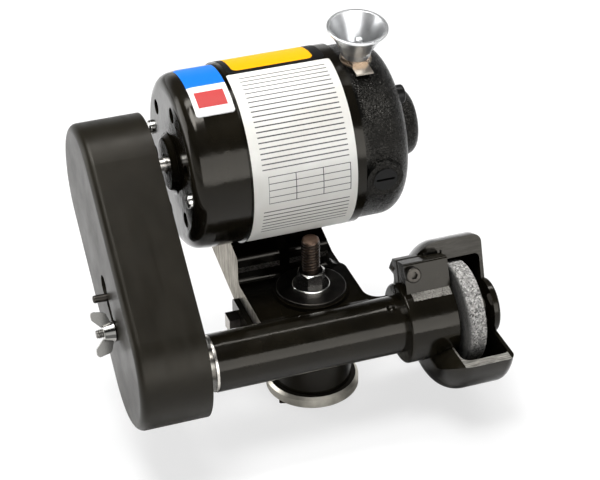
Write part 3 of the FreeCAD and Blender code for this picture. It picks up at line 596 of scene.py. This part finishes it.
# a thin printed film laid round the motor, with rounded corners
def addFilm(name, look, paint):
    axisY, axisZ = motorAxis
    left, right = look["span"]
    low, high = [math.radians(t) for t in look["turn"]]
    middle = (low + high) / 2
    corner = look["corner"]
    columns, rows = look["grid"]
    points, faces = [], []
    for side in (0, 1):
        for i in range(columns + 1):
            ease = 0.5 - 0.5 * math.cos(math.pi * i / columns)   # closer columns near the rounded ends
            x = left + (right - left) * ease
            radius = look["radius"](x) + look["lift"] + look["thick"] * side
            edge = min(x - left, right - x, corner)
            cut = corner - math.sqrt(max(corner ** 2 - (corner - edge) ** 2, 0.0))
            half = (high - low) / 2 - cut / radius
            for j in range(rows + 1):
                turn = middle + half * (2 * j / rows - 1)
                points.append((x, axisY + radius * math.cos(turn), axisZ + radius * math.sin(turn)))
    across = rows + 1
    sheet = across * (columns + 1)
    for i in range(columns):
        for j in range(rows):
            a = i * across + j
            faces.append((a, a + 1, a + across + 1, a + across))
            faces.append(tuple(sheet + k for k in (a, a + across, a + across + 1, a + 1)))
    rim = [i * across for i in range(columns + 1)] + [columns * across + j for j in range(1, across)]
    rim += [i * across + rows for i in range(columns - 1, -1, -1)] + list(range(rows - 1, 0, -1))
    for a, b in zip(rim, rim[1:] + rim[:1]):
        faces.append((a, b, sheet + b, sheet + a))
    addPiece(name, points, faces, finish(look["finish"], paint), "motor")


bandRadius = 44.45 * mm
labelLook = {
    "finish": "data label", "radius": lambda x: bandRadius, "lift": 0.01 * mm, "thick": 0.10 * mm,
    "span": (-31.4 * mm, 20.4 * mm), "turn": (95.6, 230.5), "corner": 1.2 * mm, "grid": (28, 90),
    "paper": (0.80, 0.79, 0.75), "shade": (0.72, 0.70, 0.65), "ink": (0.035, 0.033, 0.03),
    # rows, the table's rows and their lines are in degrees round the motor
    "rowsFrom": 101.0, "rowStep": 3.3, "rowWidth": 0.75, "rowSpan": (-26.5 * mm, 16.6 * mm),
    "head": (100.0, 164.0), "foot": (191.0, 214.0),
    "table": (168.5, 187.0), "tableRow": 4.6, "rowLine": 0.5,
    "tableSpan": (-24.0 * mm, 17.0 * mm), "tableColumn": 13.6 * mm, "columnLine": 0.4 * mm,
    "soil": 18 * mm, "soilFade": (0.35, 0.75), "rough": 0.34, "soilRough": 0.12,
    "wave": 7 * mm, "waveDepth": 0.03 * mm,
}


# a blank form: ruled rows, an empty table and more ruled rows
def labelPaint(at):
    look = labelLook
    turn = at.around(*motorAxis)
    x = at.part("X")
    rules = (turn - look["rowsFrom"]).ruled(look["rowStep"], look["rowWidth"])
    rules = rules * x.between(*look["rowSpan"])
    written = turn.between(*look["head"]) + turn.between(*look["foot"])
    (top, bottom), edge = look["table"], look["rowLine"] / 2
    inside = turn.between(top - edge, bottom + edge) * x.between(*look["tableSpan"])
    lines = (turn - top).ruled(look["tableRow"], look["rowLine"])
    lines = lines + (x - look["tableSpan"][0]).ruled(look["tableColumn"], look["columnLine"])
    printed = rules * written + inside * (lines > 0.5)
    soil = at.noise(look["soil"], 4.0).fade(*look["soilFade"])
    paper = soil.blend(look["paper"], look["shade"])
    return {
        "Base Color": (printed > 0.5).blend(paper, look["ink"]),
        "Roughness": look["rough"] + look["soilRough"] * soil,
        "Normal": at.noise(look["wave"]).bump(look["waveDepth"]),
    }


addFilm("data_label", labelLook, labelPaint)

panelLook = {
    "finish": "yellow panel", "radius": lambda x: bandRadius, "lift": 0.01 * mm, "thick": 0.10 * mm,
    "span": (-30.0 * mm, 19.0 * mm), "turn": (42.0, 95.0), "corner": 3.4 * mm, "grid": (28, 40),
    "yellow": (0.84, 0.38, 0.001), "stain": 12 * mm, "stainShare": 0.93, "border": (0.004, 0.0038, 0.0036),
    "inner": (-27.2 * mm, 13.6 * mm), "innerTurn": (45.5, 92.0), "innerCorner": 3.0 * mm,
    "rough": 0.42, "mottle": 6 * mm, "mottleRough": 0.08, "gloss": 0.1,
    "wave": 7 * mm, "waveDepth": 0.02 * mm,
}


# a plain yellow field with rounded corners in a black border
def panelPaint(at):
    look = panelLook
    along = at.around(*motorAxis) * (math.pi / 180 * bandRadius)
    left, right = look["inner"]
    low, high = [math.radians(t) * bandRadius for t in look["innerTurn"]]
    corner = look["innerCorner"]
    beside = at.part("X").past(left + corner, right - corner)
    beyond = along.past(low + corner, high - corner)
    inside = (beside * beside + beyond * beyond) < corner ** 2
    yellow = at.noise(look["stain"], 3.0).blend(look["yellow"], dim(look["yellow"], look["stainShare"]))
    return {
        "Base Color": inside.blend(look["border"], yellow),
        "Roughness": look["rough"] + look["mottleRough"] * at.noise(look["mottle"]),
        "Normal": at.noise(look["wave"]).bump(look["waveDepth"]),
        "Specular IOR Level": look["gloss"],
    }


addFilm("yellow_panel", panelLook, panelPaint)

# the drive end bell, which tapers towards its face
bellForm = {"radius": 43.5 * mm, "taperFrom": -49.0 * mm, "taper": 1.2 / 10.2}


def bellRadius(x):
    return bellForm["radius"] - max(bellForm["taperFrom"] - x, 0.0) * bellForm["taper"]


stickerLook = {
    "finish": "bell sticker", "radius": bellRadius, "lift": 0.015 * mm, "thick": 0.10 * mm,
    "span": (-51.9 * mm, -33.0 * mm), "turn": (68.0, 124.4), "corner": 1.5 * mm, "grid": (20, 44),
    "blue": (0.001, 0.155, 0.66), "white": (0.80, 0.80, 0.79), "red": (0.46, 0.030, 0.028),
    "split": 100.0, "bar": (105.5, 118.0), "barSpan": (-49.6 * mm, -35.4 * mm),
    "rough": 0.40, "mottle": 5 * mm, "mottleRough": 0.08, "gloss": 0.25,
    "wave": 6 * mm, "waveDepth": 0.02 * mm,
}


# two plain fields and a plain bar
def stickerPaint(at):
    look = stickerLook
    turn = at.around(*motorAxis)
    bar = turn.between(*look["bar"]) * at.part("X").between(*look["barSpan"])
    fields = (turn < look["split"]).blend(look["white"], look["blue"])
    return {
        "Base Color": bar.blend(fields, look["red"]),
        "Roughness": look["rough"] + look["mottleRough"] * at.noise(look["mottle"], 3.0),
        "Normal": at.noise(look["wave"]).bump(look["waveDepth"]),
        "Specular IOR Level": look["gloss"],
    }


addFilm("bell_sticker", stickerLook, stickerPaint)
print("films: 3")

# the ridge of a thread: half widths in shares of the pitch, and its run-out in turns
ridge = {"foot": 0.46, "flat": 0.08, "runOut": 0.6}


# a screw thread as one ridge round a post; along is the post's direction, side any direction across it
def addThread(name, look, body, material):
    along, side = Vector(look["along"]), Vector(look["side"])
    other = along.cross(side)
    base = Vector(look["base"])
    pitch, root, crest = look["pitch"], look["root"], look["crest"]
    turns = look["length"] / pitch
    steps = int(turns * look["steps"])
    foot, flat = ridge["foot"], ridge["flat"]
    profile = [(-foot, root), (-flat, crest), (flat, crest), (foot, root)]
    count = len(profile)
    points, faces = [], []
    for i in range(steps + 1):
        angle = 2 * math.pi * turns * i / steps
        rise = look["length"] * i / steps
        height = min(min(i, steps - i) / (ridge["runOut"] * look["steps"]), 1.0)
        out = side * math.cos(angle) + other * math.sin(angle)
        for shift, radius in profile:
            place = base + along * (rise + shift * pitch)
            points.append(place + out * (root + (radius - root) * height))
    for i in range(steps):
        for k in range(count):
            a, b = count * i + k, count * i + (k + 1) % count
            faces.append((a, b, b + count, a + count))
    faces += [tuple(range(count - 1, -1, -1)), tuple(count * steps + k for k in range(count))]
    addPiece(name, points, faces, material, body, False)


studThread = {
    "base": (0, 0, 68.7 * mm), "along": (0, 0, 1), "side": (1, 0, 0),
    "pitch": 25.4 / 16 * mm, "root": 4.2 * mm, "crest": 4.62 * mm, "length": 16.2 * mm, "steps": 48,
}
addThread("stud_thread", studThread, "clamp_base", special["tee_bolt"])

coverThread = {
    "base": (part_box("cover_stud")[0][0] + 0.9 * mm, *axisOf("cover_stud")),
    "along": (1, 0, 0), "side": (0, 1, 0),
    "pitch": 0.8 * mm, "root": 1.86 * mm, "crest": 2.22 * mm, "length": 2.1 * mm, "steps": 36,
}
addThread("cover_stud_thread", coverThread, "frame", special["cover_stud"])
print("threads: 2")

# a black enamelled block that closes the pad's slot behind its open end, in front of the motor's stud, so
# that the slot shows dark
slotBlock = {
    "slot": (-10.14 * mm, -4.86 * mm), "pocket": (-15.0 * mm, 4.0 * mm), "y": (26.05 * mm, 29.2 * mm),
    "bottom": 55.2 * mm, "padUnder": 62.5 * mm, "top": 71.9 * mm,
}


def addSlotBlock():
    (left, right), (slotLeft, slotRight) = slotBlock["pocket"], slotBlock["slot"]
    bottom, under, top = slotBlock["bottom"], slotBlock["padUnder"], slotBlock["top"]
    outline = [
        (left, bottom), (right, bottom), (right, under), (slotRight, under),
        (slotRight, top), (slotLeft, top), (slotLeft, under), (left, under),
    ]
    points = [(x, y, z) for y in slotBlock["y"] for x, z in outline]
    count = len(outline)
    faces = [tuple(range(count)), tuple(range(2 * count - 1, count - 1, -1))]
    faces += [(k, (k + 1) % count, count + (k + 1) % count, count + k) for k in range(count)]
    addPiece("slot_block", points, faces, finishes["black_enamel"], "frame", False)


addSlotBlock()
print("web made")

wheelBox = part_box("grinding_wheel")
wheelLook = {
    "span": (wheelBox[0][0], wheelBox[1][0]), "radius": (wheelBox[1][1] - wheelBox[0][1]) / 2,
    "bore": 3.175 * mm,
    "edge": (0.6 * mm, 0.8 * mm), "edgeSteps": (6, 5), "faceSteps": 14, "rimSteps": 10, "around": 480,
    "grit": 0.65 * mm, "depth": 0.13 * mm,
    "gritFrom": 12.0 * mm,      # radius inside which the faces stay plain
    "faceShare": 0.35,          # depth of the grit on the faces
    "touch": 0.01 * mm,
}


# half section of the wheel as (x, radius), from the bore over the left face and the rim to the bore
def wheelProfile(left, right, radius):
    look = wheelLook
    bore, (first, last), (firstSteps, lastSteps) = look["bore"], look["edge"], look["edgeSteps"]
    face, rim = look["faceSteps"], look["rimSteps"]
    profile = [(left, bore + (radius - first - bore) * k / face) for k in range(face + 1)]
    for k in range(1, firstSteps + 1):
        turn = math.pi / 2 * k / firstSteps
        profile.append((left + first * (1 - math.cos(turn)), radius - first * (1 - math.sin(turn))))
    flat = right - last - (left + first)
    profile += [(left + first + flat * k / rim, radius) for k in range(1, rim + 1)]
    for k in range(1, lastSteps + 1):
        turn = math.pi / 2 * k / lastSteps
        profile.append((right - last * (1 - math.sin(turn)), radius - last * (1 - math.cos(turn))))
    profile += [(right, radius - last - (radius - last - bore) * k / face) for k in range(1, face + 1)]
    return profile


# grinding wheel: a turned form with dressed edges, roughened by its grit
def addWheel():
    look = wheelLook
    axisY, axisZ = spindleAxis
    left, right = look["span"]
    profile = wheelProfile(left, right, look["radius"] - look["depth"])
    count, around = len(profile), look["around"]
    points, faces = [], []
    for i in range(around):
        angle = 2 * math.pi * i / around
        for x, r in profile:
            spot = Vector((x, r * math.cos(angle), r * math.sin(angle)))
            lump = noise.cell(spot / look["grit"]) * look["depth"] if r > look["gritFrom"] else 0.0
            side = (x < left + look["touch"]) - (x > right - look["touch"])
            inset = look["faceShare"] * lump * side
            grown = r if side else r + lump
            points.append((x + inset, axisY + grown * math.cos(angle), axisZ + grown * math.sin(angle)))
    for i in range(around):
        here, following = i * count, (i + 1) % around * count
        for k in range(count):
            after = (k + 1) % count
            faces.append((here + k, here + after, following + after, following + k))
    wheel = addPiece("grit_wheel", points, faces, finishes["abrasive"], "spindle", False)
    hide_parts("grinding_wheel")


addWheel()
print("wheel made")

stageLook = {
    "floor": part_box("tee_bolt")[0][2],
    "size": 6.0,
    "pale": (0.90, 0.90, 0.90),
    "white": (0.93, 0.93, 0.93),
    "patch": 0.4,
    "rough": 0.9,
    "gloss": 0.1,
    "glow": 0.70,           # share of plain white in what the camera sees of the floor
    "ambient": 0.17,        # strength of the world on the surfaces
    "ceiling": 0.12,        # what glossy surfaces see overhead
    "rise": (0.02, 0.34),   # height over the horizon where the ceiling begins and is full
}


def floorPaint(at):
    return {
        "Base Color": at.noise(stageLook["patch"]).blend(stageLook["pale"], stageLook["white"]),
        "Roughness": stageLook["rough"],
        "Specular IOR Level": stageLook["gloss"],
    }


def setFloor():
    mesh = bpy.data.meshes.new("floor")
    half = stageLook["size"] / 2
    corners = [(-half, -half), (half, -half), (half, half), (-half, half)]
    mesh.from_pydata([(x, y, stageLook["floor"]) for x, y in corners], [], [(0, 1, 2, 3)])
    floor = bpy.data.objects.new("floor", mesh)
    scene.collection.objects.link(floor)
    sweep = finish("pale floor", floorPaint)
    tree = sweep.node_tree
    seen = Sock(tree, tree.nodes.new("ShaderNodeLightPath").outputs["Is Camera Ray"])
    glow = seen.node("ShaderNodeEmission", {}, {"Color": (1, 1, 1, 1), "Strength": 1.0})
    surface = Sock(tree, tree.nodes["Principled BSDF"].outputs[0])
    mixed = seen.node("ShaderNodeMixShader", {}, {0: stageLook["glow"] * seen, 1: surface, 2: glow})
    tree.links.new(mixed.out, tree.nodes["Material Output"].inputs["Surface"])
    floor.data.materials.append(sweep)


# a white world with a dark ceiling for what is seen directly or mirrored, and a dim one as light
def setWorld():
    world = bpy.data.worlds.new("studio")
    scene.world = world
    world.use_nodes = True
    tree = world.node_tree
    rays = tree.nodes.new("ShaderNodeLightPath").outputs
    shown = Sock(tree, rays["Is Camera Ray"])
    for name in ("Is Glossy Ray", "Is Transmission Ray"):
        shown = shown.calc("MAXIMUM", shown, Sock(tree, rays[name]))
    up = shown.node("ShaderNodeTexCoord", {}, {}, "Generated").part("Z").fade(*stageLook["rise"])
    ambient, ceiling = stageLook["ambient"], stageLook["ceiling"]
    back = tree.nodes["Background"]
    back.inputs["Color"].default_value = (1, 1, 1, 1)
    strength = ambient + shown * ((1 - ambient) - (1 - ceiling) * up)
    tree.links.new(strength.out, back.inputs["Strength"])


lampTarget = (0, 0, 0.08)
# a lamp that isn't on matt surfaces is a card that shows only in shiny ones
lamps = [
    {"name": "front card", "place": (0.05, -1.30, 0.42), "size": (1.9, 0.90), "watts": 22.0,
     "onMatt": False},
    {"name": "top strip", "place": (0.31, 0.30, 1.15), "size": (1.7, 0.18), "watts": 12.0,
     "target": (0.31, 0, 0.08)},
    {"name": "left box", "place": (-1.15, 0.55, 0.40), "size": (0.8, 0.8), "watts": 9.0},
    {"name": "top box", "place": (-0.30, -0.15, 1.55), "size": (0.6, 0.6), "watts": 20.0},
]


def addLamp(look):
    data = bpy.data.lights.new(look["name"], "AREA")
    data.shape = "RECTANGLE"
    data.size, data.size_y = look["size"]
    data.energy = look["watts"]
    lamp = bpy.data.objects.new(look["name"], data)
    lamp.visible_diffuse = look.get("onMatt", True)
    aim = Vector(look.get("target", lampTarget)) - Vector(look["place"])
    turned = aim.to_track_quat("-Z", "Y").to_matrix().to_4x4()
    lamp.matrix_world = Matrix.Translation(look["place"]) @ turned
    scene.collection.objects.link(lamp)


setFloor()
setWorld()
for look in lamps:
    addLamp(look)
scene.view_settings.view_transform = "Standard"
print("stage set")
